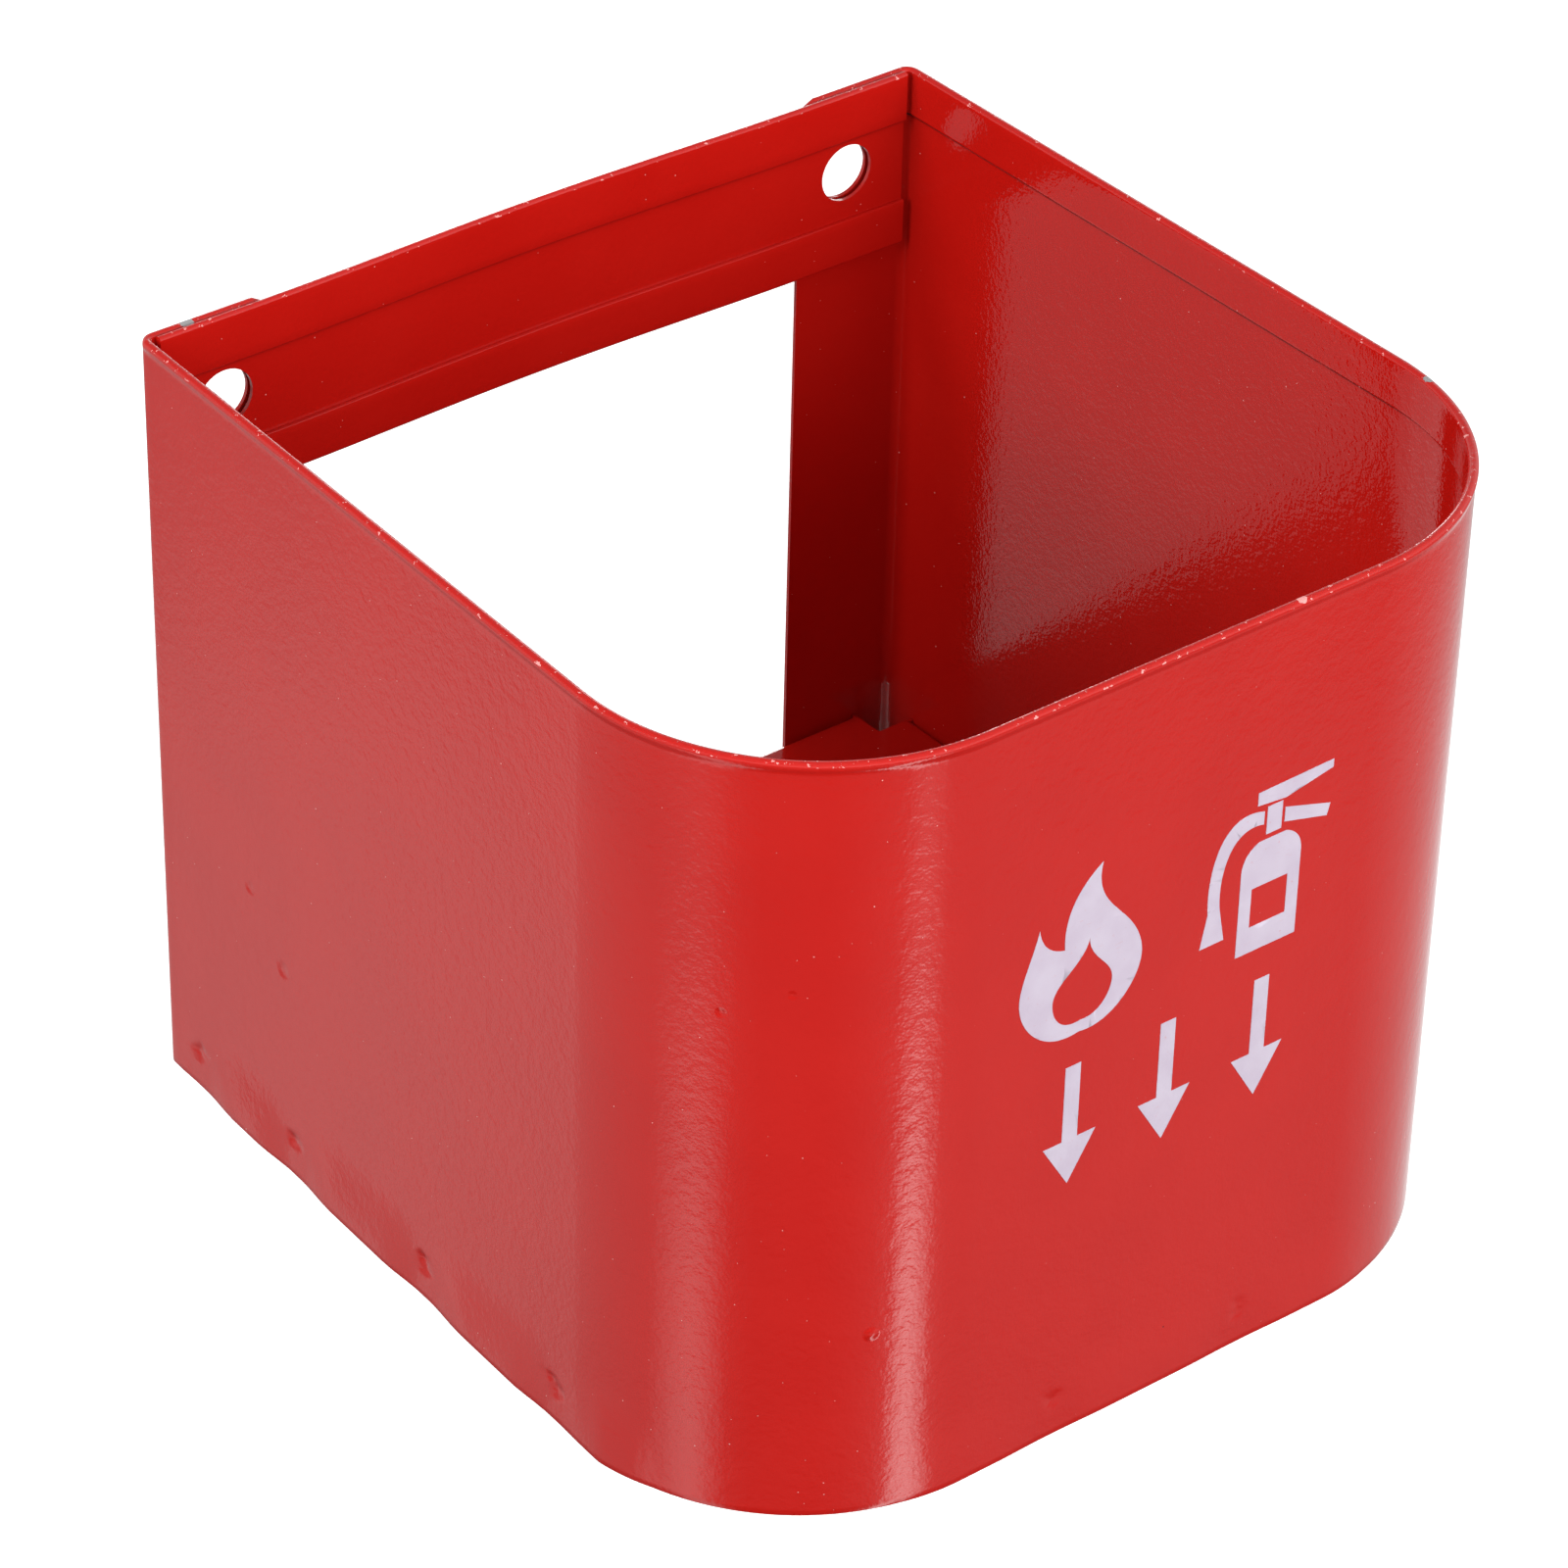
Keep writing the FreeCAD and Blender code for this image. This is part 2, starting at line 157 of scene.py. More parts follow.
# Faces that meet at more than these angles keep a crisp edge
FOLD_ANGLE = math.radians(50.0)
SOLID_ANGLE = math.radians(30)

# The cylinders that cut the wall holes
CUTTER_SIDES = 64
CUTTER_DEPTH = 0.02

UP = Vector((0.0, 0.0, 1.0))
rail_low, rail_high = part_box("back_rail")
tray_low, tray_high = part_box("floor_tray")
print_low, print_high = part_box("front_print")
HEIGHT = cad_high.z
REAR_Y = cad_high.y
FRONT_Y = print_high.y
DEPTH = REAR_Y - FRONT_Y
LEAN = (FRONT_WIDTH - REAR_WIDTH) / 2 / DEPTH


# ---- node helpers ----


def node(tree, kind, wires=None, **settings):
    """A new node with its settings, and its inputs wired or set."""
    made = tree.nodes.new(kind)
    for name, value in settings.items():
        setattr(made, name, value)
    for name, value in (wires or {}).items():
        if isinstance(value, bpy.types.NodeSocket):
            tree.links.new(value, made.inputs[name])
        else:
            made.inputs[name].default_value = value
    return made


def calc(tree, operation, *values, clamp=False):
    """The result of one sum on numbers."""
    wires = dict(enumerate(values))
    return node(tree, "ShaderNodeMath", wires, operation=operation, use_clamp=clamp).outputs[0]


def total(tree, *values):
    """The sum of several numbers."""
    result = values[0]
    for value in values[1:]:
        result = calc(tree, "ADD", result, value)
    return result


def product(tree, *values):
    """The product of several numbers."""
    result = values[0]
    for value in values[1:]:
        result = calc(tree, "MULTIPLY", result, value)
    return result


def between(tree, share, low, high):
    """A number from low to high, by a share from 0 to 1."""
    return calc(tree, "MULTIPLY_ADD", share, high - low, low)


def ease(tree, value, start, end, low=0.0, high=1.0):
    """A smooth step of a value, low at start and high at end."""
    wires = {"Value": value, "From Min": start, "From Max": end, "To Min": low, "To Max": high}
    made = node(tree, "ShaderNodeMapRange", wires, interpolation_type="SMOOTHSTEP")
    return made.outputs["Result"]


def vector_calc(tree, operation, first, second):
    """The result of one sum on vectors."""
    wires = {0: first}
    wires["Scale" if operation == "SCALE" else 1] = second
    return node(tree, "ShaderNodeVectorMath", wires, operation=operation).outputs[0]


# ---- materials ----


def new_material(name):
    """A material with only a Principled shader wired to its output."""
    material = bpy.data.materials.new(name)
    material.use_nodes = True
    tree = material.node_tree
    tree.nodes.clear()
    shader = node(tree, "ShaderNodeBsdfPrincipled")
    node(tree, "ShaderNodeOutputMaterial", {"Surface": shader.outputs["BSDF"]})
    return material, tree, shader


def noise(tree, place, scale, detail=2.0, roughness=0.5):
    """Cloudy noise of the given number of features in a metre."""
    wires = {"Vector": place, "Scale": scale, "Detail": detail, "Roughness": roughness}
    return node(tree, "ShaderNodeTexNoise", wires).outputs["Fac"]


def specks(tree, place, pitch_per_metre, radius, share):
    """1 inside small round specks, one in some of the cells of a random grid, else 0."""
    cells = node(
        tree,
        "ShaderNodeTexVoronoi",
        {"Vector": place, "Scale": pitch_per_metre},
        feature="F1",
    )
    parts = node(tree, "ShaderNodeSeparateColor", {"Color": cells.outputs["Color"]})
    chosen = calc(tree, "LESS_THAN", parts.outputs[0], share)
    size = calc(tree, "MULTIPLY_ADD", parts.outputs[1], radius * 0.7, radius * 0.5)
    reach = calc(tree, "DIVIDE", cells.outputs["Distance"], pitch_per_metre)
    edge = calc(tree, "SUBTRACT", size, reach)
    inside = ease(tree, edge, 0.0, SPECK_EDGE)
    return calc(tree, "MULTIPLY", inside, chosen)


def spot(tree, place, centre, radius, ragged):
    """1 inside one ragged patch round a named point, else 0."""
    away = node(
        tree,
        "ShaderNodeVectorMath",
        {0: place, 1: centre},
        operation="DISTANCE",
    ).outputs["Value"]
    edge = calc(tree, "MULTIPLY_ADD", ragged, radius, -radius * 0.5)
    return calc(tree, "LESS_THAN", calc(tree, "ADD", away, edge), radius)


def blend(tree, share, below, above):
    """One colour over another, by a share from 0 to 1."""
    wires = {"Factor": share, 6: below, 7: above}
    return node(tree, "ShaderNodeMix", wires, data_type="RGBA").outputs[2]


# Colours of the coat, its faults, the painted seam shade and the steel under it
RED = (0.430, 0.0068, 0.0042, 1.0)
RED_LIGHTER = (0.447, 0.0080, 0.0050, 1.0)
PALE_DUST = (0.74, 0.38, 0.36, 1.0)
DARK_SPECK = (0.10, 0.004, 0.004, 1.0)
# Painted shade: the near-black red of the line under each hem's cut edge, standing in for the shadow in the
# seam
PAINTED_SEAM_SHADE = (0.035, 0.004, 0.004, 1.0)
WORN_EDGE = (0.78, 0.30, 0.28, 1.0)
BARE_STEEL = (0.27, 0.26, 0.26, 1.0)
THIN_INK = (0.48, 0.41, 0.50, 1.0)
FULL_INK = (0.52, 0.46, 0.545, 1.0)
SCRATCHED_INK = (0.50, 0.26, 0.30, 1.0)
WORN_INK = (0.52, 0.10, 0.10, 1.0)
BLUISH_STEEL = (0.42, 0.43, 0.46, 1.0)
STRAW_STEEL = (0.50, 0.40, 0.28, 1.0)

# Grain of the coat, in features per metre
PEEL_GRAIN = 1050.0
FINE_PEEL_GRAIN = 2100.0
RIPPLE_GRAIN = 430.0
CLOUD_GRAIN = 35.0
RAGGED_GRAIN = 1500.0
SCUFF_GRAIN = 760.0
# mottling of the painted seam shade under the hems
SEAM_SHADE_GRAIN = 260.0
DUST_PITCH = 400.0
PINHOLE_PITCH = 60.0

# Heights in the coat, in metres, with the peel's on the inside and on the outside of the wrap
PEEL_INSIDE = 4.2e-5
PEEL_OUTSIDE = 2.2e-5
FINE_PEEL_INSIDE = 8e-6
FINE_PEEL_OUTSIDE = 5e-6
RIPPLE_HEIGHT = 3.6e-5
DUST_RISE = 2.5e-5
PINHOLE_DEPTH = 4e-5
WEAR_DEPTH = 4e-5
CHIP_DEPTH = 1.2e-4

# The size of a dust speck and of a pinhole, and the share of the cells that hold one
DUST_RADIUS = 0.00013
DUST_SHARE = 0.75
PINHOLE_RADIUS = 0.00020
PINHOLE_SHARE = 0.22
SPECK_EDGE = 0.00008

# The band of the rim that wears, and how much of the noise counts as a scuff
WORN_BAND = 0.0006
SCUFF_LEVEL = 0.640

# The coat's gloss, and how much rougher it is where it is chipped, dusty or under the painted seam shade
COAT_IOR = 1.5
COAT_ROUGHNESS = (0.06, 0.09)
CHIP_ROUGHER = 0.35
DUST_ROUGHER = 0.25
SEAM_SHADE_ROUGHER = 0.5

# The ink: its scratches, worn places, clouds and skin, in features per metre and metres
SCRATCH_GRAIN = 420.0
SCRATCH_TURN = (0.0, 0.5, 0.0)
SCRATCH_STRETCH = (1.0, 1.0, 9.0)
SCRATCH_DEPTH = 1e-5
SCRATCH_SHOWS = 0.45
INK_WEAR_GRAIN = 1100.0
INK_WEAR_LEVEL = 0.70
INK_WEAR_SHOWS = 0.5
INK_CLOUD_GRAIN = 150.0
INK_PEEL_GRAIN = 900.0
INK_PEEL_HEIGHT = 4e-5
INK_ROUGHNESS = (0.28, 0.38)

# The welds' bare steel
STEEL_GRAIN = 2500.0
STEEL_GRAIN_HEIGHT = 2e-5
STEEL_TINT_GRAIN = 500.0
STEEL_ROUGHNESS = (0.30, 0.50)

# Places on the rim where the coat is chipped to the steel, and where it is rubbed pale: the middle and
# the radius, in metres
CHIPS = (
    (Vector((-0.0728, REAR_Y - 0.0008, HEIGHT)), 0.0013),
    (Vector((0.0840, -0.0488, HEIGHT)), 0.0009),
    (Vector((-0.0795, -0.0560, HEIGHT)), 0.0006),
)
SCUFFS = (
    (Vector((0.0226, FRONT_Y + 0.0006, HEIGHT)), 0.0009),
    (Vector((-0.0360, FRONT_Y + 0.0016, HEIGHT)), 0.0008),
    (Vector((-0.0812, -0.0480, HEIGHT)), 0.0008),
)
# Knocks and lumps: the middle, the radius and the depth, in metres
PITS = (
    (Vector((-0.0829, 0.0468, 0.0435)), 0.0022, 1.2e-4),
    (Vector((-0.0827, 0.0568, 0.0550)), 0.0018, 0.8e-4),
    (Vector((-0.0767, -0.0679, 0.1015)), 0.0011, 1.6e-4),
    (Vector((-0.0692, -0.0762, 0.1065)), 0.0010, 0.8e-4),
    (Vector((-0.0570, -0.0836, 0.0375)), 0.0016, -2.2e-4),
)


def pit(tree, place, centre, radius, depth):
    """A shallow knock in the sheet, or a lump under the coat where the depth is negative."""
    away = node(tree, "ShaderNodeVectorMath", {0: place, 1: centre}, operation="DISTANCE").outputs["Value"]
    return product(tree, ease(tree, away, radius * 0.15, radius, 1.0, 0.0), -depth)


def within_any(tree, place, patches, ragged):
    """1 inside any of the named ragged patches, else 0."""
    result = 0.0
    for centre, radius in patches:
        result = calc(tree, "MAXIMUM", spot(tree, place, centre, radius, ragged), result)
    return result


def red_powder_coat():
    """Gloss powder coat with orange peel, dust under the skin, worn rim, a few chips to the steel, and
    painted shade along the hem seams.
    """
    material, tree, shader = new_material("red_powder_coat")
    place = node(tree, "ShaderNodeTexCoord").outputs["Object"]
    height = node(tree, "ShaderNodeSeparateXYZ", {"Vector": place}).outputs["Z"]
    peel = noise(tree, place, PEEL_GRAIN, 1.0)
    fine_peel = noise(tree, place, FINE_PEEL_GRAIN, 0.0)
    ripple = noise(tree, place, RIPPLE_GRAIN, 1.0)
    cloud = noise(tree, place, CLOUD_GRAIN, 3.0)
    ragged = noise(tree, place, RAGGED_GRAIN, 2.0)
    dust = specks(tree, place, DUST_PITCH, DUST_RADIUS, DUST_SHARE)
    pinholes = specks(tree, place, PINHOLE_PITCH, PINHOLE_RADIUS, PINHOLE_SHARE)
    rim = calc(tree, "GREATER_THAN", height, HEIGHT - WORN_BAND)
    scuffs = calc(tree, "GREATER_THAN", noise(tree, place, SCUFF_GRAIN, 4.0, 0.65), SCUFF_LEVEL)
    rubbed = calc(tree, "MAXIMUM", scuffs, within_any(tree, place, SCUFFS, ragged))
    worn = calc(tree, "MULTIPLY", rim, rubbed)
    chipped = within_any(tree, place, CHIPS, ragged)
    outside = node(tree, "ShaderNodeAttribute", attribute_name="skin").outputs["Fac"]
    # Painted shade: a dark mottled line under each hem's cut edge, standing in for the shadow in the seam
    seam = node(tree, "ShaderNodeAttribute", attribute_name="seam").outputs["Fac"]
    seam = product(tree, seam, ease(tree, noise(tree, place, SEAM_SHADE_GRAIN, 2.0), 0.30, 0.46, 0.65, 1.0))
    colour = blend(tree, ease(tree, cloud, 0.35, 0.65), RED, RED_LIGHTER)
    colour = blend(tree, seam, colour, PAINTED_SEAM_SHADE)
    colour = blend(tree, dust, colour, PALE_DUST)
    colour = blend(tree, pinholes, colour, DARK_SPECK)
    colour = blend(tree, worn, colour, WORN_EDGE)
    colour = blend(tree, chipped, colour, BARE_STEEL)
    gloss = ease(tree, cloud, 0.3, 0.7, *COAT_ROUGHNESS)
    gloss = calc(tree, "MULTIPLY_ADD", chipped, CHIP_ROUGHER, gloss)
    gloss = calc(tree, "MULTIPLY_ADD", dust, DUST_ROUGHER, gloss)
    gloss = calc(tree, "MULTIPLY_ADD", seam, SEAM_SHADE_ROUGHER, gloss)
    skin = total(
        tree,
        product(tree, peel, between(tree, outside, PEEL_INSIDE, PEEL_OUTSIDE)),
        product(tree, fine_peel, between(tree, outside, FINE_PEEL_INSIDE, FINE_PEEL_OUTSIDE)),
        product(tree, ripple, RIPPLE_HEIGHT),
        product(tree, dust, DUST_RISE),
        product(tree, pinholes, -PINHOLE_DEPTH),
        product(tree, worn, -WEAR_DEPTH),
        product(tree, chipped, -CHIP_DEPTH),
        *[pit(tree, place, centre, radius, depth) for centre, radius, depth in PITS],
    )
    bump = node(tree, "ShaderNodeBump", {"Height": skin, "Distance": 1.0, "Strength": 1.0})
    tree.links.new(colour, shader.inputs["Base Color"])
    tree.links.new(gloss, shader.inputs["Roughness"])
    tree.links.new(bump.outputs["Normal"], shader.inputs["Normal"])
    shader.inputs["IOR"].default_value = COAT_IOR
    return material


def white_ink():
    """Screen-printed white, thin enough to follow the coat, with fine scratches."""
    material, tree, shader = new_material("white_ink")
    place = node(tree, "ShaderNodeTexCoord").outputs["Object"]
    stretched = node(
        tree,
        "ShaderNodeMapping",
        {"Vector": place, "Rotation": SCRATCH_TURN, "Scale": SCRATCH_STRETCH},
    ).outputs["Vector"]
    scratches = noise(tree, stretched, SCRATCH_GRAIN, 3.0, 0.6)
    scratched = ease(tree, scratches, 0.66, 0.74)
    cloud = noise(tree, place, INK_CLOUD_GRAIN, 3.0)
    wear = noise(tree, place, INK_WEAR_GRAIN, 3.0, 0.7)
    worn_through = calc(tree, "GREATER_THAN", wear, INK_WEAR_LEVEL)
    colour = blend(tree, ease(tree, cloud, 0.3, 0.7), THIN_INK, FULL_INK)
    colour = blend(tree, calc(tree, "MULTIPLY", scratched, SCRATCH_SHOWS), colour, SCRATCHED_INK)
    colour = blend(tree, calc(tree, "MULTIPLY", worn_through, INK_WEAR_SHOWS), colour, WORN_INK)
    skin = total(
        tree,
        product(tree, noise(tree, place, INK_PEEL_GRAIN, 1.0), INK_PEEL_HEIGHT),
        product(tree, scratched, -SCRATCH_DEPTH),
    )
    bump = node(tree, "ShaderNodeBump", {"Height": skin, "Distance": 1.0, "Strength": 1.0})
    gloss = ease(tree, cloud, 0.3, 0.7, *INK_ROUGHNESS)
    tree.links.new(colour, shader.inputs["Base Color"])
    tree.links.new(gloss, shader.inputs["Roughness"])
    tree.links.new(bump.outputs["Normal"], shader.inputs["Normal"])
    return material


def weld_steel():
    """Bare steel of a pressed spot weld, bluish-grey with a straw ring of heat."""
    material, tree, shader = new_material("weld_steel")
    place = node(tree, "ShaderNodeTexCoord").outputs["Object"]
    grain = noise(tree, place, STEEL_GRAIN, 4.0, 0.7)
    tint = noise(tree, place, STEEL_TINT_GRAIN, 2.0)
    colour = blend(tree, ease(tree, tint, 0.4, 0.65), BLUISH_STEEL, STRAW_STEEL)
    skin = product(tree, grain, STEEL_GRAIN_HEIGHT)
    bump = node(tree, "ShaderNodeBump", {"Height": skin, "Distance": 1.0})
    tree.links.new(colour, shader.inputs["Base Color"])
    tree.links.new(ease(tree, grain, 0.3, 0.7, *STEEL_ROUGHNESS), shader.inputs["Roughness"])
    tree.links.new(bump.outputs["Normal"], shader.inputs["Normal"])
    shader.inputs["Metallic"].default_value = 1.0
    return material


powder_coat = red_powder_coat()
ink = white_ink()
steel = weld_steel()


# ---- lines and sections for the sheet sweep ----


def line_object(name, points, closed=False, **marks):
    """A chain of edges whose points carry the named numbers or vectors."""
    count = len(points)
    edges = [(i, i + 1) for i in range(count - 1)]
    if closed:
        edges.append((count - 1, 0))
    mesh = bpy.data.meshes.new(name)
    mesh.from_pydata([tuple(p) for p in points], edges, [])
    for mark, values in marks.items():
        if isinstance(values[0], (float, int)):
            mesh.attributes.new(mark, "FLOAT", "POINT").data.foreach_set("value", values)
        else:
            flat = [part for value in values for part in value]
            mesh.attributes.new(mark, "FLOAT_VECTOR", "POINT").data.foreach_set("vector", flat)
    made = bpy.data.objects.new(name, mesh)
    bpy.context.scene.collection.objects.link(made)
    return made


def spread(length, marks, fine, coarse, reach):
    """Distances along a line, close together near the marks and wider between them."""
    places = [0.0]
    while places[-1] < length:
        nearest = min((abs(places[-1] - mark) for mark in marks), default=length)
        places.append(places[-1] + (fine if nearest < reach else coarse))
    scale = length / places[-1]
    return [place * scale for place in places]


def even(length, step):
    """Evenly spaced distances along a line."""
    return spread(length, [], step, step, 0.0)


def weld_centres(name):
    """The middle of each welded spot of a CAD node."""
    groups = []
    for vertex in frame["nodes"][name].data.vertices:
        near = [group for group in groups if (group[0] - vertex.co).length < WELD_REACH]
        if near:
            near[0].append(vertex.co.copy())
        else:
            groups.append([vertex.co.copy()])
    return [sum(group, Vector()) / len(group) for group in groups]


def half_width(y):
    """Half the plan's width, to the outer face of a side wall."""
    return REAR_WIDTH / 2 + LEAN * (REAR_Y - y)


def wrap_line(welds):
    """The outer face of the wrap in plan, from one rear flange round the front to the other."""
    flange_x = REAR_WIDTH / 2 - FLANGE_WIDTH
    corners = [
        Vector((-flange_x, REAR_Y)),
        Vector((-half_width(REAR_Y), REAR_Y)),
        Vector((-half_width(FRONT_Y), FRONT_Y)),
        Vector((half_width(FRONT_Y), FRONT_Y)),
        Vector((half_width(REAR_Y), REAR_Y)),
        Vector((flange_x, REAR_Y)),
    ]
    radii = [REAR_RADIUS, FRONT_RADIUS, FRONT_RADIUS, REAR_RADIUS]
    points, outward = [], []

    def run(start, end):
        """Adds the points of one straight run."""
        along = (end - start).normalized()
        out = Vector((along.y, -along.x))
        marks = []
        for weld in welds:
            from_start = weld.xy - start
            if abs(from_start.dot(out)) < 3 * SHEET:
                marks.append(from_start.dot(along))
        for place in spread((end - start).length, marks, WELD_STEP, PLAN_STEP, WELD_ZONE):
            points.append(start + along * place)
            outward.append(out)

    start = corners[0]
    for before, corner, after, radius in zip(corners, corners[1:], corners[2:], radii):
        to_before = (before - corner).normalized()
        to_after = (after - corner).normalized()
        half_angle = to_before.angle(to_after) / 2
        reach = radius / math.tan(half_angle)
        middle = corner + (to_before + to_after).normalized() * (radius / math.sin(half_angle))
        arc_start = corner + to_before * reach
        run(start, arc_start)
        turn = math.pi - 2 * half_angle
        steps = max(ARC_STEPS_LEAST, round(turn * radius / ARC_STEP))
        first = arc_start - middle
        for step in range(1, steps):
            angle = turn * step / steps
            turned = Matrix.Rotation(angle, 2) @ first
            points.append(middle + turned)
            outward.append(turned.normalized())
        start = corner + to_after * reach
    run(start, corners[-1])
    return points, outward


def share_past(value, start, reach):
    """0 up to start, then rising to 1 over the reach."""
    return max(0.0, min(1.0, (value - start) / reach))


def wrap_marks(points, outward):
    """How far each place of the wrap's line may bulge, wave, carry the rolled rim and take a weld's dent."""
    bulge, play, rim, press = [], [], [], []
    for point, out in zip(points, outward):
        side = share_past(abs(out.x), *SIDE_FACING)
        front = share_past(-out.y, *FRONT_FACING)
        rear = share_past(out.y, *REAR_FACING)
        room = cad_high.x - abs(point.x) - BOX_ROOM
        into_wall = min(1.0, (REAR_Y - point.y) / STIFF_CORNER)
        bulge.append(side * min(SIDE_BULGE, room) * into_wall + front * FRONT_BULGE)
        play.append((1.0 - rear) * into_wall)
        rim.append(1.0 - rear)
        press.append(FRONT_PRESS + (1 - FRONT_PRESS) * side)
    return bulge, play, rim, press


def half_round(middle, height, radius, start, end, steps):
    """Points round a fold in the section, as inset and height; angles are from the outward side."""
    found = []
    for step in range(steps + 1):
        angle = math.radians(start + (end - start) * step / steps)
        found.append((middle - radius * math.cos(angle), height + radius * math.sin(angle)))
    return found


def seam_shade_share(below):
    """The share of painted seam shade at a distance below a hem's cut edge."""
    return 1.0 if below < SEAM_REACH else max(0.0, 1.0 - (below - SEAM_REACH) / SEAM_FADE)


def wrap_section():
    """The wrap's section as inset, height, and shares of the outer skin, the rolled rim and painted seam
    shade.
    """
    turn = HEM / 2
    edge = WRAP_EDGE
    rows = [(edge, 0.0, 1, 0), (edge * 0.3, edge * 0.3, 1, 0), (0.0, edge, 1, 0)]
    for height in spread(FOOT_HEIGHT, [WELD_ROW], WELD_STEP, FOOT_STEP, WELD_ROW_ZONE)[1:]:
        rows.append((0.0, height + edge, 1, 0))
    for height in even(HEIGHT - FOOT_HEIGHT - BEAD_START, WALL_STEP)[1:]:
        rows.append((0.0, FOOT_HEIGHT + edge + height, 1, 0))
    for below, proud in BEAD_PROFILE:
        rows.append((0.0, HEIGHT - below, 1, proud))
    for inset, height in half_round(turn, HEIGHT - turn, turn, 0, 180, FOLD_STEPS):
        rows.append((inset, height, 0, 1.0 - inset / HEM))
    low = HEIGHT - RIM_HEM
    slot = HEM_SLOT
    for height in spread(RIM_HEM - turn - edge, [RIM_HEM - turn], SEAM_STEP, HEM_STEP, HEM_ZONE)[1:]:
        rows.append((HEM, HEIGHT - turn - height, 0, 0))
    rows += [
        (HEM - edge * 0.3, low + edge * 0.3, 0, 0, 0.5),
        (HEM - edge, low, 0, 0, 1.0),
        (HEM - SHEET + edge, low, 0, 0, 1.0),
        (HEM - SHEET + edge * 0.3, low + edge * 0.3, 0, 0, 1.0),
        (HEM - SHEET, low + edge, 0, 0, 1.0),
        (HEM - SHEET, low + slot, 0, 0, 1.0),
        (SHEET, low + slot, 0, 0, 1.0),
    ]
    inner_wall = low + slot - FOOT_HEIGHT
    # The inner wall just under the rim's hem carries the painted seam shade
    for height in spread(inner_wall, [slot + SEAM_MIDDLE], SEAM_STEP, WALL_STEP, SEAM_ZONE)[1:]:
        rows.append((SHEET, low + slot - height, 0, 0, seam_shade_share(height - slot)))
    for height in even(FOOT_HEIGHT - edge, FOOT_INNER_STEP)[1:]:
        rows.append((SHEET, FOOT_HEIGHT - height, 0, 0))
    rows += [(SHEET - edge * 0.3, edge * 0.3, 0, 0), (SHEET - edge, 0.0, 0, 0)]
    return rows


def rail_section():
    """The rail's section, with both long edges folded to the front."""
    turn = HEM / 2
    edge = RAIL_EDGE
    slot = HEM_SLOT
    low, high = rail_low.z, rail_high.z
    top_edge = high - RAIL_TOP_HEM
    bottom_edge = low + RAIL_BOTTOM_HEM
    rows = half_round(turn, high - turn, turn, 180, 0, FOLD_STEPS)
    for place in even(RAIL_TOP_HEM - turn - edge, RAIL_STEP)[1:]:
        rows.append((0.0, high - turn - place))
    rows += [
        (edge * 0.3, top_edge + edge * 0.3, 0.3),
        (edge, top_edge, 1.0),
        (SHEET, top_edge, 1.0),
        (SHEET, top_edge + slot, 1.0),
        (HEM - SHEET, top_edge + slot, 1.0),
    ]
    face = top_edge - bottom_edge + 2 * slot
    # The rail's face below its top hem carries a weaker painted seam shade
    for place in spread(face, [slot + SEAM_MIDDLE], SEAM_STEP, RAIL_STEP, SEAM_ZONE)[1:]:
        rows.append((HEM - SHEET, top_edge + slot - place, RAIL_SEAM_SHADE * seam_shade_share(place - slot)))
    rows += [
        (SHEET, bottom_edge - slot),
        (SHEET, bottom_edge),
        (edge, bottom_edge),
        (edge * 0.3, bottom_edge - edge * 0.3),
    ]
    for place in even(RAIL_BOTTOM_HEM - turn - edge, RAIL_STEP):
        rows.append((0.0, bottom_edge - edge - place))
    rows += half_round(turn, low + turn, turn, 0, -180, FOLD_STEPS)[1:]
    for place in even(high - low - 2 * turn, WALL_STEP)[1:-1]:
        rows.append((HEM, low + turn + place))
    return [(row[0], row[1], 0, 0, *row[2:]) for row in rows]


def section_object(name, rows):
    """A closed section, drawn so that the sweep puts insets inward and heights upward."""
    points = [(-row[0], -row[1], 0.0) for row in rows]
    skin = [float(row[2]) for row in rows]
    bead = [float(row[3]) for row in rows]
    # seam: the share of painted seam shade at each point of the section
    seam = [float(row[4]) if len(row) > 4 else 0.0 for row in rows]
    return line_object(name, points, closed=True, skin=skin, bead=bead, seam=seam)


# ---- the sweep of a folded sheet, as Geometry Nodes ----

SHEET_INPUTS = (
    ("Plan line", "NodeSocketObject"),
    ("Section", "NodeSocketObject"),
    ("Weld places", "NodeSocketObject"),
    ("Hole places", "NodeSocketObject"),
    ("Hole radius", "NodeSocketFloat"),
    ("Rim bead", "NodeSocketFloat"),
    ("Weld dent depth", "NodeSocketFloat"),
    ("Weld dent radius", "NodeSocketFloat"),
    ("Weld level", "NodeSocketFloat"),
    ("Bulge height", "NodeSocketFloat"),
    ("Wave height", "NodeSocketFloat"),
    ("Wave length", "NodeSocketFloat"),
    ("Wave seed", "NodeSocketFloat"),
    ("Finish", "NodeSocketMaterial"),
)


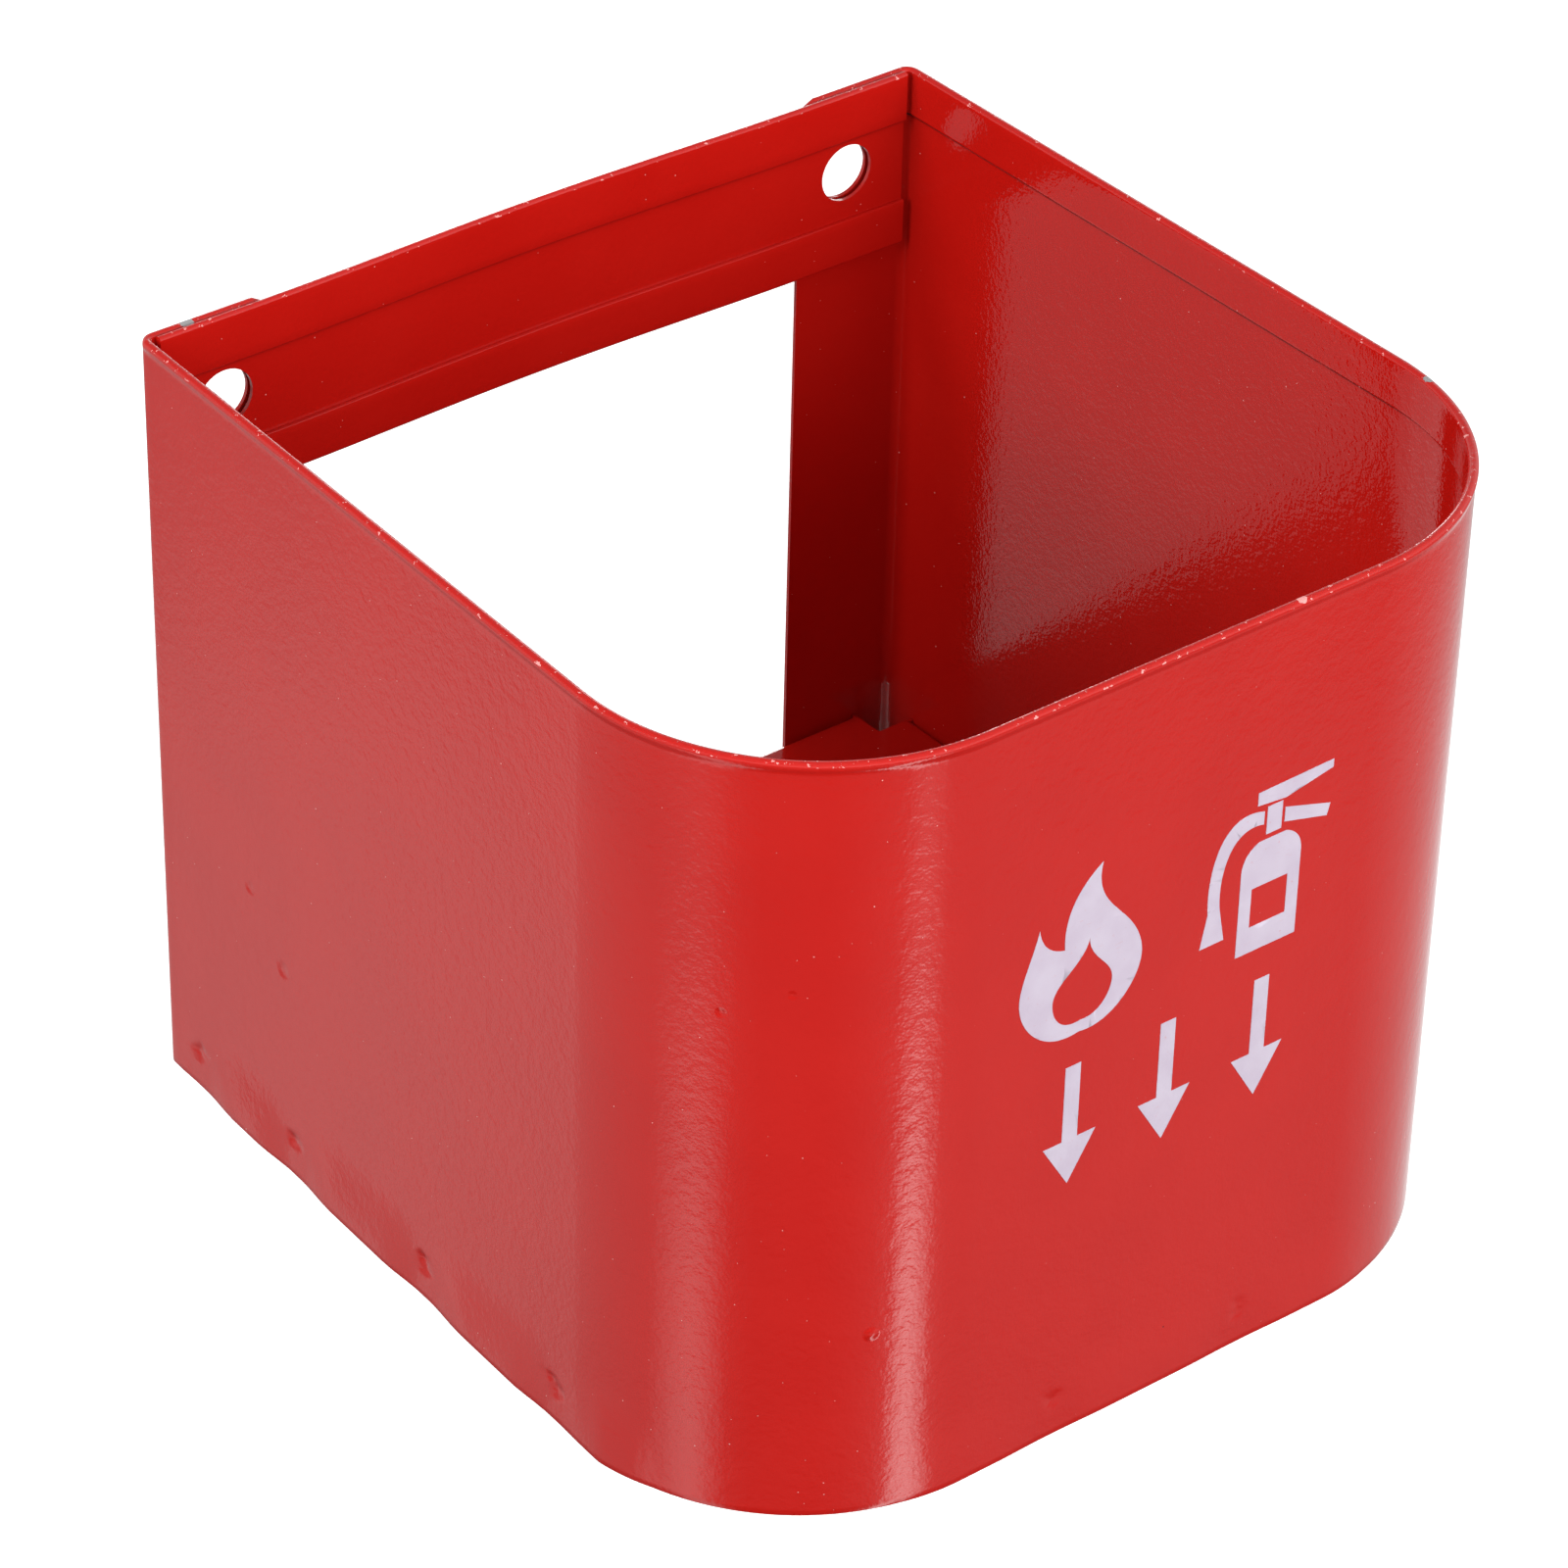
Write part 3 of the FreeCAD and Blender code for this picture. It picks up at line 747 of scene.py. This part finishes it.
def folded_sheet_tree():
    """Sweeps a folded section along a plan line, then presses in the welds and cuts the wall holes."""
    tree = bpy.data.node_groups.new("folded_sheet", "GeometryNodeTree")
    for name, kind in SHEET_INPUTS:
        tree.interface.new_socket(name, in_out="INPUT", socket_type=kind)
    tree.interface.new_socket("Geometry", in_out="OUTPUT", socket_type="NodeSocketGeometry")
    sizes = node(tree, "NodeGroupInput").outputs

    def shape_of(name):
        """The geometry of an object given as an input."""
        info = node(tree, "GeometryNodeObjectInfo", {"Object": sizes[name]})
        return info.outputs["Geometry"]

    def mark(name, kind="FLOAT"):
        """A named number or vector carried by the points."""
        found = node(tree, "GeometryNodeInputNamedAttribute", {"Name": name}, data_type=kind)
        return found.outputs["Attribute"]

    plan = node(tree, "GeometryNodeMeshToCurve", {"Mesh": shape_of("Plan line")}).outputs[0]
    upright = node(tree, "GeometryNodeSetCurveNormal", {"Curve": plan}, mode="Z_UP").outputs[0]
    section = node(tree, "GeometryNodeMeshToCurve", {"Mesh": shape_of("Section")}).outputs[0]
    swept = node(
        tree,
        "GeometryNodeCurveToMesh",
        {"Curve": upright, "Profile Curve": section, "Fill Caps": True},
    ).outputs[0]

    place = node(tree, "GeometryNodeInputPosition").outputs[0]
    parts = node(tree, "ShaderNodeSeparateXYZ", {"Vector": place}).outputs
    welds = shape_of("Weld places")
    to_weld = node(
        tree,
        "GeometryNodeProximity",
        {"Target": welds, "Source Position": place},
        target_element="POINTS",
    ).outputs["Distance"]
    ragged = node(tree, "ShaderNodeTexNoise", {"Vector": place, "Scale": DENT_GRAIN, "Detail": 1.0})
    crease = calc(tree, "MULTIPLY_ADD", ragged.outputs[0], DENT_RAGGED, to_weld)
    crease = calc(tree, "SUBTRACT", crease, DENT_RAGGED / 2)
    dent = ease(tree, crease, 0.0, sizes["Weld dent radius"], 1.0, 0.0)
    dent = product(tree, dent, dent)
    dent = product(tree, dent, mark("skin"), mark("press"), sizes["Weld dent depth"], -1.0)

    level = node(tree, "GeometryNodeProximity", {"Target": welds}, target_element="POINTS")
    weld_level = sizes["Weld level"]
    flat_place = node(
        tree,
        "ShaderNodeCombineXYZ",
        {"X": parts["X"], "Y": parts["Y"], "Z": weld_level},
    ).outputs[0]
    tree.links.new(flat_place, level.inputs["Source Position"])
    off_welds = ease(tree, level.outputs["Distance"], *WELD_HOLD)
    low_down = ease(tree, parts["Z"], 0.0, sizes["Bulge height"], 1.0, 0.0)
    bulge = product(tree, off_welds, low_down, mark("bulge"))

    waves = node(
        tree,
        "ShaderNodeTexNoise",
        {
            "Vector": place,
            "W": sizes["Wave seed"],
            "Scale": calc(tree, "DIVIDE", 1.0, sizes["Wave length"]),
            "Detail": 1.0,
        },
        noise_dimensions="4D",
    ).outputs[0]
    calm_rim = ease(tree, parts["Z"], HEIGHT - STIFF_RIM[0], HEIGHT - STIFF_RIM[1], 1.0, 0.0)
    calm_foot = ease(tree, parts["Z"], *STIFF_FOOT)
    wave = calc(tree, "MULTIPLY_ADD", waves, 2.0, -1.0)
    wave = product(tree, wave, sizes["Wave height"], calm_rim, calm_foot, mark("play"))

    bead = product(tree, mark("bead"), mark("rim"), sizes["Rim bead"])
    shift = vector_calc(tree, "SCALE", mark("outward", "FLOAT_VECTOR"), total(tree, dent, bulge, wave, bead))
    pressed = node(tree, "GeometryNodeSetPosition", {"Geometry": swept, "Offset": shift}).outputs[0]

    cutter = node(
        tree,
        "GeometryNodeMeshCylinder",
        {"Vertices": CUTTER_SIDES, "Radius": sizes["Hole radius"], "Depth": CUTTER_DEPTH},
    ).outputs["Mesh"]
    cutters = node(
        tree,
        "GeometryNodeInstanceOnPoints",
        {"Points": shape_of("Hole places"), "Instance": cutter, "Rotation": (math.pi / 2, 0.0, 0.0)},
    ).outputs[0]
    real_cutters = node(tree, "GeometryNodeRealizeInstances", {"Geometry": cutters}).outputs[0]
    drilled = node(tree, "GeometryNodeMeshBoolean", operation="DIFFERENCE", solver="EXACT")
    tree.links.new(pressed, drilled.inputs["Mesh 1"])
    tree.links.new(real_cutters, drilled.inputs["Mesh 2"])

    smooth = node(
        tree,
        "GeometryNodeSetShadeSmooth",
        {"Geometry": drilled.outputs["Mesh"], "Shade Smooth": True},
    ).outputs[0]
    bend = node(tree, "GeometryNodeInputMeshEdgeAngle").outputs["Unsigned Angle"]
    sharp = calc(tree, "GREATER_THAN", bend, FOLD_ANGLE)
    shaded = node(
        tree,
        "GeometryNodeSetShadeSmooth",
        {"Geometry": smooth, "Selection": sharp, "Shade Smooth": False},
        domain="EDGE",
    ).outputs[0]
    real = node(tree, "GeometryNodeRealizeInstances", {"Geometry": shaded}).outputs[0]
    painted = node(
        tree,
        "GeometryNodeSetMaterial",
        {"Geometry": real, "Material": sizes["Finish"]},
    ).outputs[0]
    node(tree, "NodeGroupOutput", {0: painted})
    return tree


folded_sheet = folded_sheet_tree()


def sweep(name, **sizes):
    """Runs the sheet tree with the given inputs and returns the result as a plain mesh."""
    host = bpy.data.objects.new(name + "_host", bpy.data.meshes.new(name + "_host"))
    bpy.context.scene.collection.objects.link(host)
    modifier = host.modifiers.new("sheet", "NODES")
    modifier.node_group = folded_sheet
    for item in folded_sheet.interface.items_tree:
        key = item.name.lower().replace(" ", "_")
        if item.in_out == "INPUT" and key in sizes:
            modifier[item.identifier] = sizes.pop(key)
    if sizes:
        raise ValueError("unknown inputs: " + ", ".join(sizes))
    depsgraph = bpy.context.evaluated_depsgraph_get()
    mesh = bpy.data.meshes.new_from_object(host.evaluated_get(depsgraph))
    host.modifiers.remove(modifier)
    bpy.data.objects.remove(host)
    mesh.name = name
    for attribute in ("bead", "outward", "bulge", "play", "rim", "press"):
        if attribute in mesh.attributes:
            mesh.attributes.remove(mesh.attributes[attribute])
    made = bpy.data.objects.new(name, mesh)
    bpy.context.scene.collection.objects.link(made)
    return made


def loose_points(name, places):
    """Points without edges, for the welds and the holes."""
    mesh = bpy.data.meshes.new(name)
    mesh.from_pydata([tuple(p) for p in places], [], [])
    made = bpy.data.objects.new(name, mesh)
    bpy.context.scene.collection.objects.link(made)
    return made


hole_mount = next(m for m in frame["record"]["mounts"] if m["name"] == "wall_holes")
tray_welds = weld_centres("tray_spot_welds")
weld_level = tray_welds[0].z
rail_welds = weld_centres("rail_spot_welds")
hole_middle = Vector(hole_mount["pos_m"])
hole_reach = hole_mount["dims"]["spacing_x_mm"] / 2000
holes = [hole_middle + Vector((side * hole_reach, -HEM, 0.0)) for side in (-1, 1)]
hole_places = loose_points("hole_places", holes)
weld_places = loose_points("weld_places", tray_welds + rail_welds)

line_points, line_outward = wrap_line(tray_welds)
bulge, play, rim, press = wrap_marks(line_points, line_outward)
plan_line = line_object(
    "wrap_plan",
    [(p.x, p.y, 0.0) for p in line_points],
    outward=[(o.x, o.y, 0.0) for o in line_outward],
    bulge=bulge,
    play=play,
    rim=rim,
    press=press,
)
wrap_profile = section_object("wrap_section", wrap_section())
wrap = sweep(
    "wrap",
    plan_line=plan_line,
    section=wrap_profile,
    weld_places=weld_places,
    hole_places=hole_places,
    hole_radius=HOLE_RADIUS,
    rim_bead=BEAD_PROUD,
    weld_dent_depth=DENT_DEPTH,
    weld_dent_radius=DENT_RADIUS,
    weld_level=weld_level,
    bulge_height=BULGE_HEIGHT,
    wave_height=WAVE_HEIGHT,
    wave_length=WAVE_LENGTH,
    wave_seed=WAVE_SEED,
    finish=powder_coat,
)

# The rounded top corner at the free edge of each rear flange
free_edge = REAR_WIDTH / 2 - FLANGE_WIDTH
for vertex in wrap.data.vertices:
    if vertex.co.y > REAR_Y - 2 * HEM and vertex.co.z > HEIGHT - RIM_HEM:
        from_edge = min(max(0.0, abs(vertex.co.x) - free_edge), FLANGE_CORNER)
        drop = FLANGE_CORNER - math.sqrt(FLANGE_CORNER**2 - (FLANGE_CORNER - from_edge) ** 2)
        share = (vertex.co.z - HEIGHT + RIM_HEM) / RIM_HEM
        vertex.co.z -= drop * share

# The rail, bowed back a little between the flanges
rail_xs = [rail_low.x + place for place in even(rail_high.x - rail_low.x, RAIL_LENGTH_STEP)]
rail_points = []
for x in rail_xs:
    middle = max(0.0, 1.0 - (x / free_edge) ** 2)
    rail_points.append((x, rail_low.y + RAIL_BOW * middle**2, 0.0))
rail_line = line_object(
    "rail_plan",
    rail_points,
    outward=[(0.0, -1.0, 0.0)] * len(rail_points),
    bulge=[0.0] * len(rail_points),
    play=[0.0] * len(rail_points),
    rim=[0.0] * len(rail_points),
    press=[0.0] * len(rail_points),
)
rail_profile = section_object("rail_section", rail_section())
rail = sweep(
    "rail",
    plan_line=rail_line,
    section=rail_profile,
    weld_places=weld_places,
    hole_places=hole_places,
    hole_radius=HOLE_RADIUS,
    weld_level=weld_level,
    bulge_height=BULGE_HEIGHT,
    weld_dent_radius=DENT_RADIUS,
    wave_length=WAVE_LENGTH,
    finish=powder_coat,
)
for helper in (plan_line, wrap_profile, rail_line, rail_profile, weld_places, hole_places):
    bpy.data.objects.remove(helper)


# ---- the tray and the print, from the design's own solids ----


def gridded_copy(name, source, pitch, axes):
    """A merged copy of a CAD node, cut on a grid along the given axes so that it can follow a surface."""
    mesh = bpy.data.meshes.new(name)
    work = bmesh.new()
    work.from_mesh(frame["nodes"][source].data)
    bmesh.ops.remove_doubles(work, verts=work.verts, dist=MERGE_REACH)
    low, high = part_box(source)
    for axis in axes:
        normal = Vector((0.0, 0.0, 0.0))
        normal[axis] = 1.0
        place = low[axis] + pitch
        while place < high[axis]:
            cut = Vector((0.0, 0.0, 0.0))
            cut[axis] = place
            everything = work.verts[:] + work.edges[:] + work.faces[:]
            bmesh.ops.bisect_plane(work, geom=everything, dist=MERGE_REACH, plane_co=cut, plane_no=normal)
            place += pitch
    bmesh.ops.dissolve_degenerate(work, dist=SLIVER, edges=work.edges[:])
    work.to_mesh(mesh)
    work.free()
    made = bpy.data.objects.new(name, mesh)
    bpy.context.scene.collection.objects.link(made)
    return made


def shade_smooth(piece, angle):
    """Smooth faces, with a sharp edge wherever two faces meet at more than the angle."""
    mesh = piece.data
    mesh.polygons.foreach_set("use_smooth", [True] * len(mesh.polygons))
    mesh.set_sharp_from_angle(angle=angle)


tray = gridded_copy("tray", "floor_tray", TRAY_GRID, (0, 1))
tray.data.materials.clear()
tray.data.materials.append(powder_coat)
for vertex in tray.data.vertices:
    x, y, z = vertex.co
    edge_room = min(abs(tray_high.x - abs(x)), tray_high.y - y, y - tray_low.y)
    share = share_past(edge_room, TRAY_STIFF_EDGE, TRAY_SAG_REACH)
    vertex.co.z = z - TRAY_SAG * share * share * (3 - 2 * share)
shade_smooth(tray, SOLID_ANGLE)

front_print = gridded_copy("print", "front_print", PRINT_GRID, (0, 2))
front_print.data.materials.clear()
front_print.data.materials.append(ink)
surface = BVHTree.FromObject(wrap, bpy.context.evaluated_depsgraph_get())
for vertex in front_print.data.vertices:
    start = Vector((vertex.co.x, FRONT_Y - RAY_ROOM, vertex.co.z))
    hit = surface.ray_cast(start, Vector((0.0, 1.0, 0.0)))[0]
    depth = (vertex.co.y - print_low.y) / (print_high.y - print_low.y)
    vertex.co.y = hit.y - INK_PROUD + depth * (INK_PROUD + INK_SUNK)
shade_smooth(front_print, SOLID_ANGLE)

# ---- what each piece stands for ----

for piece, source in ((wrap, "body_shell"), (rail, "back_rail"), (tray, "floor_tray")):
    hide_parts(source)
    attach(piece, "root")
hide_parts("front_print")
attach(front_print, "root")
for source in ("tray_spot_welds", "rail_spot_welds"):
    welds = frame["nodes"][source]
    welds.data.materials.clear()
    welds.data.materials.append(steel)

# ---- floor, light and camera ----


FLOOR_REACH = 4.0
FLOOR_GREY = 0.80
FLOOR_GLOW = 0.60
BOUNCE_GREY = 0.08
BOUNCE_DROP = 0.0005


def floor_sheet(name, height, grey, glow):
    """A large flat sheet of the floor."""
    side = FLOOR_REACH
    corners = [(-side, -side, height), (side, -side, height), (side, side, height), (-side, side, height)]
    mesh = bpy.data.meshes.new(name)
    mesh.from_pydata(corners, [], [(0, 1, 2, 3)])
    material, _, shader = new_material(name)
    shader.inputs["Base Color"].default_value = (grey, grey, grey, 1.0)
    shader.inputs["Roughness"].default_value = 1.0
    shader.inputs["Specular IOR Level"].default_value = 0.0
    shader.inputs["Emission Color"].default_value = (1.0, 1.0, 1.0, 1.0)
    shader.inputs["Emission Strength"].default_value = glow
    mesh.materials.append(material)
    made = bpy.data.objects.new(name, mesh)
    bpy.context.scene.collection.objects.link(made)
    made.visible_glossy = False
    return made


# The floor that is seen, and a darker one just below it that only gives the light it throws back up
floor = floor_sheet("floor", 0.0, FLOOR_GREY, FLOOR_GLOW)
floor.visible_diffuse = False
floor.visible_shadow = False
bounce_floor = floor_sheet("bounce_floor", -BOUNCE_DROP, BOUNCE_GREY, 0.0)
bounce_floor.visible_camera = False

# What the gloss sees: degrees from -Y towards -X, the level below the horizon, the extra of the strip
# lights, and the pale backdrop's level along the horizon
AROUND = (
    (-180, 0.62, 0.0, 0.45),
    (-151, 1.05, 0.0, 0.45),
    (-148.5, 1.05, 0.0, 8.0),
    (-146, 1.05, 0.0, 0.45),
    (-138, 1.02, 0.0, 0.45),
    (-135, 1.02, 0.0, 3.5),
    (-132, 1.02, 0.0, 0.45),
    (-100, 0.77, 0.0, 0.1),
    (-80, 0.64, 0.0, 0.0),
    (-38, 0.46, 0.0, 0.0),
    (-28, 0.50, 0.05, 0.0),
    (-22, 0.50, 0.25, 0.0),
    (-17, 0.50, 2.00, 0.0),
    (-11, 0.50, 3.70, 0.0),
    (-6, 0.50, 2.30, 0.0),
    (-2, 0.48, 0.35, 0.0),
    (5, 0.44, 0.05, 0.0),
    (16, 0.34, 0.0, 0.0),
    (28, 0.27, 0.0, 0.0),
    (56, 0.28, 0.0, 0.0),
    (66, 0.37, 0.05, 0.0),
    (72, 0.42, 0.55, 0.0),
    (78, 0.48, 1.15, 0.0),
    (83, 0.52, 1.30, 0.0),
    (90, 0.54, 0.98, 0.1),
    (102, 0.56, 0.12, 0.3),
    (145, 0.60, 0.0, 0.45),
    (147.4, 0.80, 0.0, 0.45),
    (149.4, 0.80, 0.0, 0.45),
    (152, 0.62, 0.0, 0.45),
    (158, 0.66, 0.0, 0.45),
    (180, 0.62, 0.0, 0.45),
)


# Where each part of the room fades in or out, as the upward part of a direction, from -1 to 1
STRIP_FADE = (-0.642, -0.588)
PANEL_FADE = (-0.572, -0.520)
NADIR_FADE = (-0.77, -0.60)
BACKDROP_FOOT = (-0.50, -0.20)
BACKDROP_HEAD = (0.55, 0.30)
HORIZON = (-0.06, 0.10)
DOME_FADE = (0.22, 0.90)

# The levels that they fade to, and the dome, which is brighter towards the key light
STRIP_LOW = 0.14
PANEL_LOW = 0.64
NADIR_LEVEL = 0.25
DOME_TOP = 0.42
DOME_LEVEL = 0.78
DOME_KEY = 0.62
KEY_WAY = Vector((0.15, -0.80, 0.45)).normalized()


def studio_world():
    """A soft room: an even dome above, and panels round the object for the gloss below the horizon."""
    world = bpy.data.worlds.new("studio")
    world.use_nodes = True
    tree = world.node_tree
    tree.nodes.clear()
    way = node(tree, "ShaderNodeTexCoord").outputs["Generated"]
    parts = node(tree, "ShaderNodeSeparateXYZ", {"Vector": way}).outputs
    left = calc(tree, "MULTIPLY", parts["X"], -1.0)
    ahead = calc(tree, "MULTIPLY", parts["Y"], -1.0)
    turn = calc(tree, "ARCTAN2", left, ahead)
    share = calc(tree, "MULTIPLY_ADD", turn, 0.5 / math.pi, 0.5)
    ramp = node(tree, "ShaderNodeValToRGB", {"Fac": share})
    stops = ramp.color_ramp.elements
    while len(stops) > 1:
        stops.remove(stops[-1])
    for number, (degrees, level, strip, behind) in enumerate(AROUND):
        stop = stops[0] if number == 0 else stops.new((degrees + 180) / 360)
        stop.position = (degrees + 180) / 360
        stop.color = (level, strip, behind, 1.0)
    panels = node(tree, "ShaderNodeSeparateColor", {"Color": ramp.outputs["Color"]}).outputs
    steep = ease(tree, parts["Z"], *STRIP_FADE, 1.0, STRIP_LOW)
    panel_fade = ease(tree, parts["Z"], *PANEL_FADE, 1.0, PANEL_LOW)
    nadir = ease(tree, parts["Z"], *NADIR_FADE, NADIR_LEVEL, 1.0)
    around = product(tree, panels[0], panel_fade, nadir)
    around = calc(tree, "MULTIPLY_ADD", panels[1], steep, around)
    key_side = node(
        tree,
        "ShaderNodeVectorMath",
        {0: way, 1: KEY_WAY},
        operation="DOT_PRODUCT",
    ).outputs["Value"]
    dome = calc(tree, "MULTIPLY_ADD", key_side, DOME_KEY, DOME_LEVEL)
    dome = calc(tree, "MULTIPLY", dome, ease(tree, parts["Z"], *DOME_FADE, 1.0, DOME_TOP))
    backdrop_foot = ease(tree, parts["Z"], *BACKDROP_FOOT)
    backdrop_head = ease(tree, parts["Z"], *BACKDROP_HEAD)
    backdrop = product(tree, backdrop_foot, backdrop_head, panels[2])
    above = ease(tree, parts["Z"], *HORIZON)
    level = node(tree, "ShaderNodeMix", {"Factor": above, 2: around, 3: dome})
    lit = calc(tree, "ADD", level.outputs[0], backdrop)
    background = node(tree, "ShaderNodeBackground", {"Color": lit, "Strength": 1.0})
    node(tree, "ShaderNodeOutputWorld", {"Surface": background.outputs[0]})
    return world


bpy.context.scene.world = studio_world()


def softbox(name, place, aim, size, power):
    """A square area light that lights the piece but isn't seen in its gloss."""
    light = bpy.data.lights.new(name, "AREA")
    light.shape = "SQUARE"
    light.size = size
    light.energy = power
    lamp = bpy.data.objects.new(name, light)
    lamp.location = place
    lamp.rotation_euler = (Vector(aim) - Vector(place)).to_track_quat("-Z", "Y").to_euler()
    bpy.context.scene.collection.objects.link(lamp)
    return lamp


key = softbox("key_softbox", (0.11, -0.82, 0.31), (0.0, 0.0, 0.09), 0.45, 6.1)
fill = softbox("fill_softbox", (-0.85, 0.02, 0.60), (0.0, 0.0, 0.12), 0.5, 8.2)
top = softbox("top_softbox", (0.1, 0.1, 1.6), (0.0, 0.0, 0.0), 1.2, 2.0)
for lamp in (key, fill, top):
    lamp.visible_glossy = False

# The camera: how far round from -Y and up it stands, its tilt, its distance in metres and what it looks at
AZIMUTH = math.radians(-38.4438)
ELEVATION = math.radians(34.8639)
ROLL = math.radians(1.469)
CAMERA_DISTANCE = 1.064786
TARGET = Vector((-0.01469, -0.00408, 0.08325))
SENSOR_MM = 36.0
LENS_MM = 145.32
CLIP_END = 50.0
back = Vector(
    (
        math.sin(AZIMUTH) * math.cos(ELEVATION),
        -math.cos(AZIMUTH) * math.cos(ELEVATION),
        math.sin(ELEVATION),
    )
)
level_right = (-back).cross(UP).normalized()
level_up = level_right.cross(-back)
right = math.cos(ROLL) * level_right + math.sin(ROLL) * level_up
up = -math.sin(ROLL) * level_right + math.cos(ROLL) * level_up
camera_data = bpy.data.cameras.new("camera")
camera_data.sensor_width = SENSOR_MM
camera_data.lens = LENS_MM
camera_data.clip_end = CLIP_END
camera = bpy.data.objects.new("camera", camera_data)
camera.matrix_world = Matrix.Translation(TARGET + back * CAMERA_DISTANCE) @ Matrix(
    (right, up, back)
).transposed().to_4x4()
bpy.context.scene.collection.objects.link(camera)
bpy.context.scene.camera = camera
bpy.context.scene.view_settings.view_transform = "Standard"
